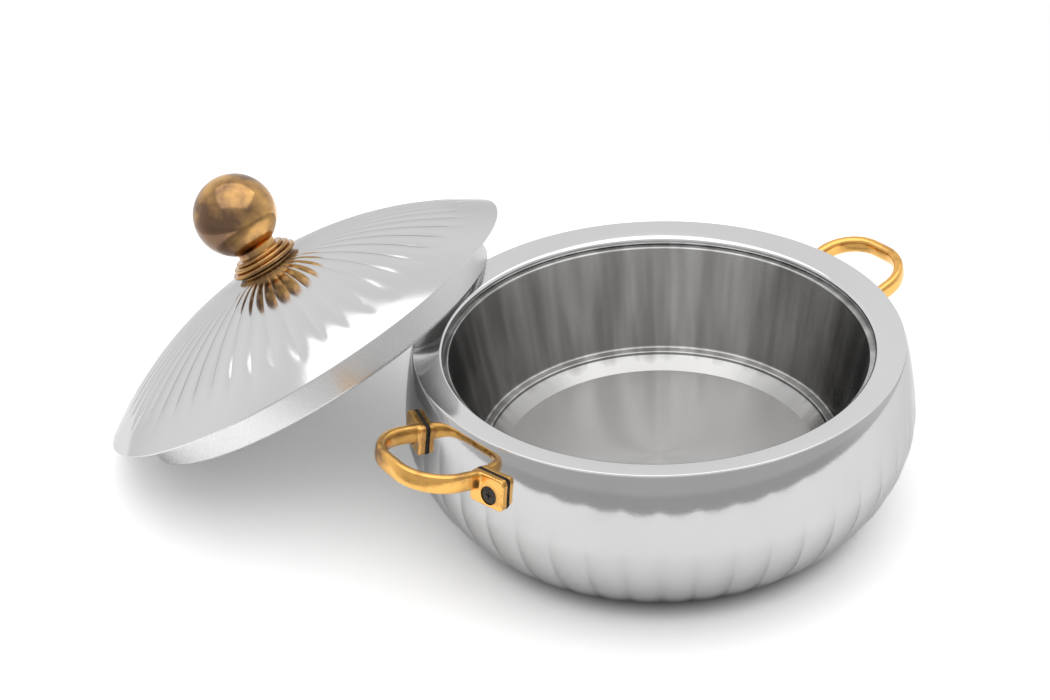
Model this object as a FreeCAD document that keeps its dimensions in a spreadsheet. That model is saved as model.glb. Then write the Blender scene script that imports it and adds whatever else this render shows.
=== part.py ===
"""Insulated chapati casserole: a double-walled steel pot with two brass handles,
and a lift-off lid that leans on its rim. Millimetres. Origin: centre of the pot's
base on the table. +Z is up and the handles lie along X."""

import FreeCAD, Part
import Sketcher
import math
import os

from FreeCAD import Vector

os.makedirs("parts", exist_ok=True)
doc = FreeCAD.newDocument("casserole")

# Driving sizes, each set by itself
driving = {
    # pot, outside
    "belly_radius": 129.5,
    "belly_height": 54.4,
    "belly_fullness": 1.77,
    "shoulder_fullness": 1.4,
    "base_radius": 84.0,
    "rim_radius": 122.4,
    "rim_height": 94.8,
    "rim_drop": 7.6,
    "shell_wall": 1.0,
    # fluting, as convex lobes between creases
    "pot_flutes": 46,
    "pot_flute_phase": 4.1,
    "lid_flutes": 48,
    "lid_flute_phase": 4.7,
    "pot_flute_depth": 0.9,
    "pot_flute_bottom": 5.0,
    "pot_flute_top": 84.0,
    "lid_flute_depth": 0.8,
    "lid_flute_inner": 23.0,
    "lid_flute_outer": 111.0,
    # rim ring and mouth
    "lip_roll": 2.3,
    "lip_curve": 2.36,
    "lip_width": 1.0,
    "ring_sheet": 0.9,
    # inner liner
    "liner_sheet": 0.8,
    "liner_top_radius": 105.4,
    "mouth_step": 2.6,
    "liner_flange": 8.0,
    "ledge_height": 29.3,
    "ledge_radius": 94.5,
    "ledge_width": 5.0,
    "cove_radius": 8.0,
    # base plate
    "plate_radius": 78.0,
    "plate_sheet": 1.2,
    "plate_seat": 6.0,
    # handles: a bent strap between two plates, rising outwards
    "loop_half_width": 27.8,
    "loop_reach": 33.9,
    "loop_corner": 15.0,
    "loop_rise": 14.0,
    "handle_root": 127.0,
    "strap_lift": 3.7,
    "strap_height": 8.0,
    "strap_thickness": 4.8,
    "strap_crown": 4.3,
    "foot_flare": 1.3,
    "foot_length": 6.0,
    "foot_straight": 2.0,
    "foot_height_share": 0.2,
    "foot_drop_share": 0.3,
    "lug_width": 20.0,
    "lug_height": 16.0,
    "lug_thickness": 3.2,
    "lug_azimuth": 13.8,
    "lug_level": 74.0,
    "lug_lean": 9.0,
    "lug_corner": 2.4,
    "pad_thickness": 0.8,
    # handle fixings
    "screw_radius": 2.0,
    "screw_head_radius": 3.9,
    "screw_head_depth": 1.9,
    "screw_length": 11.0,
    "screw_drop": 2.0,
    "screw_shift": 1.4,
    "nut_width": 7.0,
    "nut_thickness": 3.2,
    "nut_pocket_radius": 5.2,
    # lid
    "lid_radius": 122.4,
    "lid_rise": 38.2,
    "lid_sheet": 0.9,
    "plug_radius": 105.6,
    "plug_height": 19.2,
    "plug_edge_width": 5.0,
    "plug_edge_round": 0.6,
    "panel_recess": 3.3,
    "lid_edge_inset": 0.4,
    "seat_margin": 1.0,
    # knob
    "ball_radius": 22.4,
    "ball_height": 69.2,
    "collar_foot_radius": 15.0,
    "collar_foot_height": 0.9,
    "ring_one_radius": 19.0,
    "ring_one_height": 3.4,
    "ring_bevel_width": 2.2,
    "ring_bevel_height": 1.5,
    "ring_two_radius": 16.9,
    "ring_two_height": 2.6,
    "ring_three_radius": 14.3,
    "ring_three_height": 2.0,
    "neck_radius": 10.8,
    "stud_radius": 3.0,
    "stud_depth": 12.0,
    "knob_washer_radius": 9.0,
    "knob_washer_sheet": 1.2,
    "knob_nut_width": 10.0,
    "knob_nut_height": 5.0,
    "ring_roundness": 0.6,
    "stud_end": 1.0,
    "knob_pocket_radius": 11.0,
    # fits
    "thread_clearance": 0.05,
    "foam_clearance": 0.4,
    "nut_clearance": 0.25,
    "seat_gap": 0.02,
    "rest_gap": 0.3,
    "table_gap": 0.1,
    # the lid's rest: how far it leans and on which side of the pot
    "lean_angle": 29.3,
    "lean_azimuth": 122.8,
}

# Sizes that follow from the driving ones
derived = {
    "liner_top_height": "=Sizes.rim_height - Sizes.rim_drop",
    "mouth_radius": "=Sizes.liner_top_radius + Sizes.mouth_step",
    "handle_height": "=Sizes.lug_level + Sizes.strap_lift",
    "ring_outer_base": "=Sizes.rim_height - Sizes.ring_sheet",
    "lip_bulge": "=Sizes.lip_curve - sqrt(Sizes.lip_curve^2 - Sizes.lip_roll^2)",
    "lip_middle": "=mouth_radius + lip_bulge",
    "lip_outside": "=lip_middle + Sizes.lip_width",
    "lip_top": "=liner_top_height + 2 * Sizes.lip_roll",
    "lip_under": "=lip_top - Sizes.ring_sheet",
    "flange_under": "=liner_top_height - Sizes.liner_sheet",
    "flange_outer": "=Sizes.liner_top_radius + Sizes.liner_flange",
    "liner_top_outer": "=Sizes.liner_top_radius + Sizes.liner_sheet",
    "ledge_outer": "=Sizes.ledge_radius + Sizes.liner_sheet",
    "ledge_under": "=Sizes.ledge_height - Sizes.liner_sheet",
    "ledge_inner": "=Sizes.ledge_radius - Sizes.ledge_width",
    "cove_outer": "=ledge_inner + Sizes.liner_sheet",
    "floor_radius": "=ledge_inner - Sizes.cove_radius",
    "floor_height": "=Sizes.ledge_height - Sizes.cove_radius",
    "floor_under": "=floor_height - Sizes.liner_sheet",
    "cove_under_radius": "=Sizes.cove_radius + Sizes.liner_sheet",
    "plate_well": "=Sizes.plate_radius + Sizes.thread_clearance",
    "plate_seat_inner": "=Sizes.plate_radius - Sizes.plate_seat",
    "cap_radius": "=(Sizes.lid_radius^2 + Sizes.lid_rise^2) / (2 * Sizes.lid_rise)",
    "cap_centre": "=Sizes.plug_height + Sizes.lid_rise - cap_radius",
    "cap_inner_radius": "=cap_radius - Sizes.lid_sheet - Sizes.lid_flute_depth",
    "seat_radius": "=Sizes.ring_one_radius + Sizes.seat_margin",
    "seat_height": "=cap_centre + sqrt(cap_radius^2 - seat_radius^2)",
    "pan_flange_radius": "=Sizes.lid_radius - Sizes.lid_edge_inset",
    "pan_flange_under": "=Sizes.plug_height - Sizes.lid_sheet",
    "plug_inner": "=Sizes.plug_radius - Sizes.lid_sheet",
    "plug_corner_radius": "=Sizes.plug_radius - Sizes.plug_edge_round",
    "edge_inner": "=Sizes.plug_radius - Sizes.plug_edge_width",
    "edge_inner_corner": "=edge_inner + Sizes.plug_edge_round",
    "edge_inner_wall": "=edge_inner + Sizes.lid_sheet",
    "panel_top": "=Sizes.panel_recess + Sizes.lid_sheet",
    "lid_foam_radius": "=plug_inner - Sizes.foam_clearance",
    "lid_foam_base": "=panel_top + Sizes.foam_clearance",
    "lid_foam_cap": "=cap_inner_radius - Sizes.foam_clearance",
    "foot_top": "=seat_height + Sizes.collar_foot_height",
    "ring_one_top": "=foot_top + Sizes.ring_one_height",
    "ring_two_top": "=ring_one_top + Sizes.ring_two_height",
    "ring_three_top": "=ring_two_top + Sizes.ring_three_height",
    "ball_centre": "=Sizes.plug_height + Sizes.ball_height",
    "ball_flat": "=ball_centre - sqrt(Sizes.ball_radius^2 - Sizes.neck_radius^2)",
    "stud_hole_radius": "=Sizes.stud_radius + Sizes.thread_clearance",
    "stud_top": "=ball_flat + Sizes.stud_depth",
    "washer_top": "=cap_centre + sqrt(cap_inner_radius^2 - Sizes.knob_washer_radius^2) - Sizes.seat_gap",
    "washer_base": "=washer_top - Sizes.knob_washer_sheet",
    "nut_base": "=washer_base - Sizes.knob_nut_height",
    "stud_base": "=nut_base - Sizes.stud_end",
    "ball_top": "=ball_centre + Sizes.ball_radius",
    "ring_bevel_top": "=foot_top + Sizes.ring_bevel_height",
    "ring_bead_height": "=Sizes.ring_one_height - Sizes.ring_bevel_height",
    "ring_one_edge": "=Sizes.ring_roundness * ring_bead_height",
    "ring_two_edge": "=Sizes.ring_roundness * Sizes.ring_two_height",
    "ring_three_edge": "=Sizes.ring_roundness * Sizes.ring_three_height",
    "round_share": "=Sizes.ring_roundness - sqrt(Sizes.ring_roundness^2 - 0.25)",
    "ring_one_flank": "=Sizes.ring_one_radius - round_share * ring_bead_height",
    "ring_one_under": "=ring_one_flank - Sizes.ring_bevel_width",
    "ring_two_flank": "=Sizes.ring_two_radius - round_share * Sizes.ring_two_height",
    "ring_three_flank": "=Sizes.ring_three_radius - round_share * Sizes.ring_three_height",
    "leg_side": "=Sizes.loop_half_width - Sizes.strap_thickness / 2",
    "leg_end": "=bar_out - Sizes.loop_corner",
    "bar_side": "=leg_side - Sizes.loop_corner",
    "bar_out": "=Sizes.loop_reach - Sizes.strap_thickness / 2",
    "strap_inside": "=Sizes.loop_half_width - Sizes.strap_thickness",
    "strap_half_height": "=Sizes.strap_height / 2",
    "crown_rise": "=Sizes.strap_crown - sqrt(Sizes.strap_crown^2 - strap_half_height^2)",
    "strap_shoulder": "=Sizes.loop_half_width - crown_rise",
    "skin_wall": "=Sizes.shell_wall + Sizes.pot_flute_depth",
    "shell_floor": "=Sizes.plate_sheet + Sizes.shell_wall",
    "screw_hole_radius": "=Sizes.screw_radius + Sizes.thread_clearance",
    "edge_level": "=Sizes.plug_radius * sin(Sizes.lean_angle) + Sizes.table_gap",
    "edge_drop": "=(Sizes.rim_height - edge_level) * cos(Sizes.lean_angle)",
    "edge_reach": "=Sizes.rim_radius + (edge_drop - Sizes.panel_recess + Sizes.rest_gap) / sin(Sizes.lean_angle)",
}


def sheet_of(name, cells):
    """A sheet with one named cell for each entry."""
    sheet = doc.addObject("Spreadsheet::Sheet", name)
    for row, (alias, content) in enumerate(cells.items(), start=1):
        sheet.set(f"A{row}", alias)
        sheet.set(f"B{row}", str(content))
        sheet.setAlias(f"B{row}", alias)
    doc.recompute()
    return sheet


sizes = sheet_of("Sizes", driving)
fits = sheet_of("Fits", derived)


def value(alias):
    """The number in a named cell of either sheet."""
    return float(getattr(sizes if alias in driving else fits, alias))


def cell(alias):
    """The cell's full name, for an expression."""
    return f"Sizes.{alias}" if alias in driving else f"Fits.{alias}"


def bind(item, **expressions):
    """Ties properties of a document object to expressions on the sheets."""
    for key, expression in expressions.items():
        item.setExpression(key.replace("__", "."), expression)
    return item


print("sizes read:", len(driving), "driving,", len(derived), "derived")


def origin_plane(body, role):
    """One of a body's own origin planes."""
    return next(item for item in body.Origin.OriginFeatures if item.Role == role)


def number(name):
    """A coordinate from a cell's name, which may have a minus sign. An axis is zero."""
    if name == "axis":
        return 0.0
    return -value(name[1:]) if name.startswith("-") else value(name)


def expression(name):
    """The same coordinate as an expression."""
    return f"-{cell(name[1:])}" if name.startswith("-") else cell(name)


def arc_between(start, end, radius, side):
    """The short arc between two points, drawn anticlockwise. Its centre is on the left
    (+1) or the right (-1) of the way from start to end."""
    chord = end - start
    half = chord.Length / 2
    reach = math.sqrt(max(radius**2 - half**2, 0.0))
    normal = Vector(-chord.y, chord.x, 0).normalize() * side
    middle = (start + end) / 2 + normal * (reach - radius)
    return Part.Arc(start, middle, end) if side > 0 else Part.Arc(end, middle, start)


def pin_corner(sketch, edge, end, across, up):
    """Holds one end of an edge at its place, each coordinate bound to its cell."""
    for kind, name, axis in (("DistanceX", across, -2), ("DistanceY", up, -1)):
        if name == "axis":
            sketch.addConstraint(Sketcher.Constraint("PointOnObject", edge, end, axis))
            continue
        label = f"{kind[-1].lower()}{edge}_{end}_{name.replace('-', 'minus_')}"
        rule = Sketcher.Constraint(kind, -1, 1, edge, end, number(name))
        sketch.renameConstraint(sketch.addConstraint(rule), label)
        sketch.setExpression(f"Constraints.{label}", expression(name))


def draw_edge(sketch, start, end, bend):
    """A line, or an arc when a bend (radius, side) is given. Returns its number and
    which of its ends are the first and the last."""
    if not bend:
        return sketch.addGeometry(Part.LineSegment(start, end)), 1, 2
    radius, side = bend
    edge = sketch.addGeometry(arc_between(start, end, value(radius), side))
    label = f"radius{edge}_{radius}"
    rule = Sketcher.Constraint("Radius", edge, value(radius))
    sketch.renameConstraint(sketch.addConstraint(rule), label)
    sketch.setExpression(f"Constraints.{label}", cell(radius))
    return (edge, 1, 2) if side > 0 else (edge, 2, 1)


def draw_outline(sketch, outline, closed=True):
    """An outline of corners (across, up), or (across, up, radius, side) where an arc
    arrives at the corner from the one before."""
    corners = [Vector(number(item[0]), number(item[1]), 0) for item in outline]
    turns = range(len(outline)) if closed else range(1, len(outline))
    edges = [draw_edge(sketch, corners[turn - 1], corners[turn], outline[turn][2:]) for turn in turns]
    if not closed:
        pin_corner(sketch, edges[0][0], edges[0][1], *outline[0][:2])
    for place, turn in enumerate(turns):
        edge, _, last = edges[place]
        if closed or place + 1 < len(edges):
            following, first, _ = edges[(place + 1) % len(edges)]
            sketch.addConstraint(Sketcher.Constraint("Coincident", edge, last, following, first))
        pin_corner(sketch, edge, last, *outline[turn][:2])


def sketched(body, name, role, outline, closed=True):
    """A sketch of an outline on one of a body's origin planes."""
    sketch = body.newObject("Sketcher::SketchObject", name)
    sketch.AttachmentSupport = (origin_plane(body, role), [""])
    sketch.MapMode = "FlatFace"
    draw_outline(sketch, outline, closed)
    return sketch


def turned(label, outline):
    """A body turned about the Z axis from an outline in the XZ plane."""
    body = doc.addObject("PartDesign::Body", label + "_body")
    sketch = sketched(body, label + "_outline", "XZ_Plane", outline)
    turn = body.newObject("PartDesign::Revolution", label + "_turn")
    turn.Profile = sketch
    turn.ReferenceAxis = (sketch, ["V_Axis"])
    turn.Angle = 360
    body.Tip = turn
    doc.recompute()
    return body


def cylinder(label, radius, height, base="0"):
    """A cylinder about Z from expressions for its radius, height and base."""
    item = doc.addObject("Part::Cylinder", label)
    return bind(item, Radius=radius, Height=height, Placement__Base__z=base)


def prism(label, width, height, base="0"):
    """A hexagonal prism about Z, from its width across flats."""
    item = doc.addObject("Part::Prism", label)
    item.Polygon = 6
    return bind(item, Circumradius=f"{width} / (2 * cos(30))", Height=height, Placement__Base__z=base)


def cut(label, base, *tools):
    """What is left of base outside the tools."""
    for step, tool in enumerate(tools, start=1):
        item = doc.addObject("Part::Cut", label if step == len(tools) else f"{label}_cut{step}")
        item.Base = base
        item.Tool = tool
        base = item
    return base


def joined(label, *pieces):
    """Several shapes fused into one."""
    item = doc.addObject("Part::MultiFuse", label)
    item.Shapes = list(pieces)
    return item


def common(label, *pieces):
    """What several shapes share."""
    item = doc.addObject("Part::MultiCommon", label)
    item.Shapes = list(pieces)
    return item


def grouped(label, *pieces):
    """Loose solids of one sub-part."""
    item = doc.addObject("Part::Compound", label)
    item.Links = list(pieces)
    return item


def shaped(label, shape, placement=None):
    """A shape that is worked out in this file from the sheets."""
    item = doc.addObject("Part::Feature", label)
    item.Shape = shape
    if placement:
        item.Placement = placement
    return item


# Fluted skins: rings of shallow arcs, one for each lobe, that meet in creases


def circle(radius, height):
    """A round wire about Z."""
    return Part.Wire(Part.makeCircle(radius, Vector(0, 0, height)))


def ring_wire(radius, height, lobes, phase, depth=0.0, lean=0.0):
    """A closed ring of arcs. The crests lie on the circle, and the creases lie depth
    inside it, measured square to a surface whose normal leans up by lean radians."""
    inward = depth * math.cos(lean)
    down = depth * math.sin(lean)

    def at(half_steps, r, z):
        turn = math.pi * half_steps / lobes + math.radians(phase)
        return Vector(r * math.cos(turn), r * math.sin(turn), z)

    arcs = []
    for lobe in range(lobes):
        start = at(2 * lobe, radius - inward, height - down)
        middle = at(2 * lobe + 1, radius, height)
        end = at(2 * lobe + 2, radius - inward, height - down)
        arcs.append(Part.Arc(start, middle, end).toShape())
    return Part.Wire(arcs)


def fade(share, steepness=2.2):
    """How deep a flute is along its length: nothing at both ends, full in between."""
    if not 0 < share < 1:
        return 0.0
    return min(1.0, steepness * math.sqrt(share * (1 - share)))


def belly_at(height):
    """The pot's outer radius at a height, over the lobes' crests."""
    belly, level = value("belly_radius"), value("belly_height")
    if height < level:
        foot, full = value("base_radius"), value("belly_fullness")
        drop = 1 - height / level
        return foot + (belly - foot) * (1 - drop**full) ** (1 / full)
    rim, full = value("rim_radius"), value("shoulder_fullness")
    rise = min(1.0, (height - level) / (value("ring_outer_base") - level))
    return rim + (belly - rim) * (1 - rise**full) ** (1 / full)


def belly_levels():
    """The heights of the pot's sections, closer together near the base and the rim."""
    low, top = value("belly_height"), value("ring_outer_base")
    first, last = value("pot_flute_bottom"), value("pot_flute_top")
    below = [0.0, 0.025 * low, first, 0.2 * low, 0.34 * low, 0.55 * low, 0.78 * low, low]
    between = [low + (last - low) * share for share in (0.5, 0.85)]
    above = [last + (top - last) * share for share in (0.0, 0.4, 0.75, 1.0)]
    return below + between + above


def belly_skin(inset, fluted=False):
    """The pot's solid form, set in by a wall, with or without its lobes."""
    first, last = value("pot_flute_bottom"), value("pot_flute_top")
    lobes = int(value("pot_flutes"))
    rings = []
    for height in belly_levels():
        radius = belly_at(height) - inset
        if not fluted:
            rings.append(circle(radius, height))
            continue
        depth = value("pot_flute_depth") * fade((height - first) / (last - first))
        rings.append(ring_wire(radius, height, lobes, value("pot_flute_phase"), depth))
    return Part.makeLoft(rings, True, True)


def lid_cap():
    """The lid's fluted dome as a solid, flat where the knob sits."""
    reach, centre = value("cap_radius"), value("cap_centre")
    first, last = value("lid_flute_inner"), value("lid_flute_outer")
    shares = (0.0, 0.06, 0.16, 0.34, 0.58, 0.8, 0.93, 1.0)
    middles = [last + (first - last) * share for share in shares]
    lobes = int(value("lid_flutes"))
    rings = []
    for radius in [value("lid_radius"), *middles, value("seat_radius")]:
        lean = math.acos(radius / reach)
        depth = value("lid_flute_depth") * fade((radius - first) / (last - first))
        height = centre + reach * math.sin(lean)
        rings.append(ring_wire(radius, height, lobes, value("lid_flute_phase"), depth, lean))
    return Part.makeLoft(rings, True, True)


# Pot: rim ring, liner, base plate, outer shell and insulation

rim_ring = turned("rim_ring", [
    ("lip_outside", "liner_top_height"),
    ("lip_outside", "lip_under"),
    ("rim_radius", "ring_outer_base"),
    ("rim_radius", "rim_height"),
    ("lip_middle", "lip_top"),
    ("lip_middle", "liner_top_height", "lip_curve", 1),
])
inner_liner = turned("inner_liner", [
    ("axis", "floor_under"),
    ("floor_radius", "floor_under"),
    ("cove_outer", "ledge_under", "cove_under_radius", 1),
    ("ledge_outer", "ledge_under"),
    ("liner_top_outer", "flange_under"),
    ("flange_outer", "flange_under"),
    ("flange_outer", "liner_top_height"),
    ("liner_top_radius", "liner_top_height"),
    ("ledge_radius", "ledge_height"),
    ("ledge_inner", "ledge_height"),
    ("floor_radius", "floor_height", "cove_radius", -1),
    ("axis", "floor_height"),
])

base_plate = cylinder("base_plate", cell("plate_radius"), cell("plate_sheet"))

span = 2 * value("belly_radius")
hollow_space = shaped("hollow_space", belly_skin(value("skin_wall")))
above_floor = doc.addObject("Part::Box", "above_floor")
above_floor.Length = above_floor.Width = 2 * span
above_floor.Height = span
above_floor.Placement.Base = Vector(-span, -span, 0)
bind(above_floor, Placement__Base__z=cell("shell_floor"))
shell_hollow = common("shell_hollow", hollow_space, above_floor)
shell_form = shaped("shell_form", belly_skin(0.0, fluted=True))
plate_well = cylinder("plate_well", cell("plate_well"), cell("plate_sheet"))
plate_window = cylinder("plate_window", cell("plate_seat_inner"), cell("belly_height"))

# Handles. Each plate has its own frame: its origin on the pad's outer face, x square
# to the wall, y along the wall away from the loop and z up the wall


def lug_frame(side):
    """The frame of the plate on one side of the loop, +1 or -1."""
    turn = side * value("lug_azimuth")
    radius = belly_at(value("lug_level")) + value("pad_thickness")
    around = FreeCAD.Rotation(Vector(0, 0, 1), turn)
    back = FreeCAD.Rotation(Vector(0, 1, 0), -value("lug_lean"))
    place = around.multVec(Vector(radius, 0, value("lug_level")))
    return FreeCAD.Placement(place, around.multiply(back))


def screw_frame(side):
    """The same frame moved to the screw, with its z axis along the screw, outwards."""
    shift = Vector(0, side * value("screw_shift"), -value("screw_drop"))
    along = FreeCAD.Rotation(Vector(0, 1, 0), 90)
    return lug_frame(side).multiply(FreeCAD.Placement(shift, along))


def lug_block(label, side, inner, outer):
    """A block of the plate's width and height between two depths of its frame."""
    block = doc.addObject("Part::Box", label)
    bind(block, Width=cell("lug_width"), Height=cell("lug_height"))
    block.Length = outer - inner
    corner = Vector(inner, -value("lug_width") / 2, -value("lug_height") / 2)
    block.Placement = lug_frame(side).multiply(FreeCAD.Placement(corner, FreeCAD.Rotation()))
    doc.recompute()
    rounded = doc.addObject("Part::Fillet", label + "_rounded")
    rounded.Base = block
    lengths = [(index, edge.Length) for index, edge in enumerate(block.Shape.Edges, start=1)]
    depth = outer - inner
    corner_edges = [index for index, length in lengths if abs(length - depth) < 1e-6]
    rounded.Edges = [(index, value("lug_corner"), value("lug_corner")) for index in corner_edges]
    return rounded


def along_screw(label, side, radius, low, high, top_radius=None):
    """A cylinder or cone on a screw's axis between two depths."""
    if top_radius is None:
        solid = Part.makeCylinder(radius, high - low, Vector(0, 0, low))
    else:
        solid = Part.makeCone(radius, top_radius, high - low, Vector(0, 0, low))
    return shaped(label, solid, screw_frame(side))


def make_strap():
    """The bent strap: a section with a flat inside and a crowned outside, drawn along
    the loop, in a frame whose x axis rises outwards from the wall."""
    body = doc.addObject("PartDesign::Body", "strap_body")
    section = sketched(body, "strap_section", "YZ_Plane", [
        ("strap_inside", "-strap_half_height"),
        ("strap_shoulder", "-strap_half_height"),
        ("strap_shoulder", "strap_half_height", "strap_crown", 1),
        ("strap_inside", "strap_half_height"),
    ])
    path = sketched(body, "strap_path", "XY_Plane", [
        ("axis", "leg_side"),
        ("leg_end", "leg_side"),
        ("bar_out", "bar_side", "loop_corner", -1),
        ("bar_out", "-bar_side"),
        ("leg_end", "-leg_side", "loop_corner", -1),
        ("axis", "-leg_side"),
    ], closed=False)
    pipe = body.newObject("PartDesign::AdditivePipe", "strap_pipe")
    pipe.Profile = section
    pipe.Spine = (path, [f"Edge{step}" for step in range(1, 6)])
    body.Tip = pipe
    root = Vector(value("handle_root"), 0, value("handle_height"))
    body.Placement = FreeCAD.Placement(root, FreeCAD.Rotation(Vector(0, 1, 0), -value("loop_rise")))
    doc.recompute()
    return body


def make_flare(side, frame):
    """The strap's thicker foot, narrowing from the plate to the strap's own section."""
    grow = value("foot_flare")
    middle = side * (value("strap_inside") + value("strap_shoulder")) / 2
    half_width = (value("strap_shoulder") - value("strap_inside")) / 2
    half_height = value("strap_half_height")
    rings = []
    for depth, extra in ((0.0, grow), (value("foot_straight"), grow), (value("foot_length"), 0.0)):
        corners = []
        for across, up in ((-1, -1), (1, -1), (1, 1), (-1, 1)):
            y = middle + across * (half_width + extra)
            z = up * (half_height + extra * value("foot_height_share")) - extra * value("foot_drop_share")
            corners.append(Vector(depth, y, z))
        rings.append(Part.makePolygon(corners + corners[:1]))
    return shaped(f"flare_{'right' if side > 0 else 'left'}", Part.makeLoft(rings, True, True), frame)


half_turn = FreeCAD.Placement(Vector(), FreeCAD.Rotation(Vector(0, 0, 1), 180))


def opposite(label, item):
    """The same sub-part on the other side of the pot."""
    return shaped(label, item.Shape.copy(), half_turn.multiply(item.Shape.Placement))


sides = {"a": 1, "b": -1}
pad_face = shaped("pad_face", belly_skin(-value("pad_thickness")))
strap = make_strap()
flares = [make_flare(side, strap.Placement) for side in sides.values()]
thick = value("lug_thickness")
behind_wall, beyond_plate = -4 * thick, 2 * thick
head, screw = value("screw_head_depth"), value("screw_radius")
plates, bores = [], []
for name, side in sides.items():
    plates.append(lug_block(f"lug_{name}", side, behind_wall / 2, thick))
    bores.append(along_screw(f"lug_bore_{name}", side, value("screw_hole_radius"), behind_wall, beyond_plate))
    bores.append(along_screw(f"lug_sink_{name}", side, screw, thick - head, thick,
                             value("screw_head_radius")))
handle_right = cut("handle_right", joined("handle_form", strap, *flares, *plates), pad_face, *bores)

left_bores = [opposite(bore.Label + "_left", bore) for bore in bores]
outer_shell = cut("outer_shell", shell_form, shell_hollow, plate_well, plate_window, rim_ring,
                  bores[0], bores[2], left_bores[0], left_bores[2])
wall_space = shaped("wall_space", belly_skin(0.0))
pads = []
for name, side in sides.items():
    blank = lug_block(f"pad_{name}", side, behind_wall / 2, thick)
    pads.append(cut(f"pad_{name}_cut", common(f"pad_{name}_form", blank, pad_face), wall_space,
                    bores[0 if side > 0 else 2]))
pads_right = grouped("pads_right", *pads)

screws, nuts, pockets = [], [], []
wall_inside = -value("pad_thickness") - value("skin_wall") - value("nut_clearance")
nut_end = wall_inside - value("nut_thickness")
screw_end = thick - value("screw_length")
for name, side in sides.items():
    shank = along_screw(f"shank_{name}", side, screw, screw_end, thick)
    cone = along_screw(f"head_{name}", side, screw, thick - head, thick, value("screw_head_radius"))
    screws.append(joined(f"screw_{name}", shank, cone))
    nut = doc.addObject("Part::Prism", f"nut_blank_{name}")
    nut.Polygon = 6
    bind(nut, Circumradius=f"{cell('nut_width')} / (2 * cos(30))", Height=cell("nut_thickness"))
    nut.Placement = screw_frame(side).multiply(FreeCAD.Placement(Vector(0, 0, nut_end), FreeCAD.Rotation()))
    nuts.append(cut(f"nut_{name}", nut, bores[0 if side > 0 else 2]))
    pockets.append(along_screw(f"pocket_{name}", side, value("nut_pocket_radius"),
                               screw_end - value("foam_clearance"), thick))
screws_right = grouped("screws_right", *screws)
nuts_right = grouped("nuts_right", *nuts)
doc.recompute()

handle_left = opposite("handle_left", handle_right)
pads_left = opposite("pads_left", pads_right)
screws_left = opposite("screws_left", screws_right)
nuts_left = opposite("nuts_left", nuts_right)

# Pot insulation: fills the wall between the shell and the liner, with room for the nuts

gap = value("foam_clearance")
foam_form = shaped("foam_form", belly_skin(value("skin_wall") + gap))
foam_range = doc.addObject("Part::Box", "foam_range")
foam_range.Length = foam_range.Width = 2 * span
foam_range.Placement.Base = Vector(-span, -span, 0)
bind(foam_range, Placement__Base__z=f"{cell('shell_floor')} + {cell('foam_clearance')}")
bind(foam_range, Height=f"{cell('flange_under')} - {cell('shell_floor')} - 2 * {cell('foam_clearance')}")
liner_wall = doc.addObject("Part::Cone", "liner_wall")
bind(liner_wall, Radius1=f"{cell('ledge_outer')} + {cell('foam_clearance')}")
bind(liner_wall, Radius2=f"{cell('liner_top_outer')} + {cell('foam_clearance')}")
bind(liner_wall, Height=f"{cell('flange_under')} - {cell('ledge_under')} + {cell('foam_clearance')}")
bind(liner_wall, Placement__Base__z=f"{cell('ledge_under')} - {cell('foam_clearance')}")
liner_drum = cylinder("liner_drum", f"{cell('cove_outer')} + {cell('foam_clearance')}",
                      f"{cell('ledge_height')} - {cell('floor_under')}",
                      f"{cell('floor_under')} - {cell('foam_clearance')}")
pockets += [opposite(pocket.Label + "_left", pocket) for pocket in pockets]
pot_insulation = cut("pot_insulation", common("foam_body", foam_form, foam_range),
                     liner_wall, liner_drum, *pockets)

# Lid, in its own frame: z = 0 is the plane of the plug's lower edge

lid_form = shaped("lid_form", lid_cap())
dome_inside = doc.addObject("Part::Sphere", "dome_inside")
bind(dome_inside, Radius=cell("cap_inner_radius"), Placement__Base__z=cell("cap_centre"))
stud_hole = cylinder("stud_hole", cell("stud_hole_radius"), cell("ball_centre"))
lid_dome = cut("lid_dome", lid_form, dome_inside, stud_hole)

lid_pan = turned("lid_pan", [
    ("axis", "panel_recess"),
    ("edge_inner", "panel_recess"),
    ("edge_inner", "plug_edge_round"),
    ("edge_inner_corner", "axis"),
    ("plug_corner_radius", "axis"),
    ("plug_radius", "plug_edge_round"),
    ("plug_radius", "pan_flange_under"),
    ("pan_flange_radius", "pan_flange_under"),
    ("pan_flange_radius", "plug_height"),
    ("plug_inner", "plug_height"),
    ("plug_inner", "lid_sheet"),
    ("edge_inner_wall", "lid_sheet"),
    ("edge_inner_wall", "panel_top"),
    ("axis", "panel_top"),
])

foam_ball = doc.addObject("Part::Sphere", "foam_ball")
bind(foam_ball, Radius=cell("lid_foam_cap"), Placement__Base__z=cell("cap_centre"))
foam_drum = cylinder("foam_drum", cell("lid_foam_radius"), cell("ball_centre"), cell("lid_foam_base"))
knob_pocket = cylinder("knob_pocket", cell("knob_pocket_radius"), cell("ball_centre"),
                       f"{cell('stud_base')} - {cell('stud_end')}")
lid_insulation = cut("lid_insulation", common("lid_foam_form", foam_ball, foam_drum), knob_pocket)

# Knob: a ball on a ringed collar, held by a stud with a washer and nut inside the lid

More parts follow.
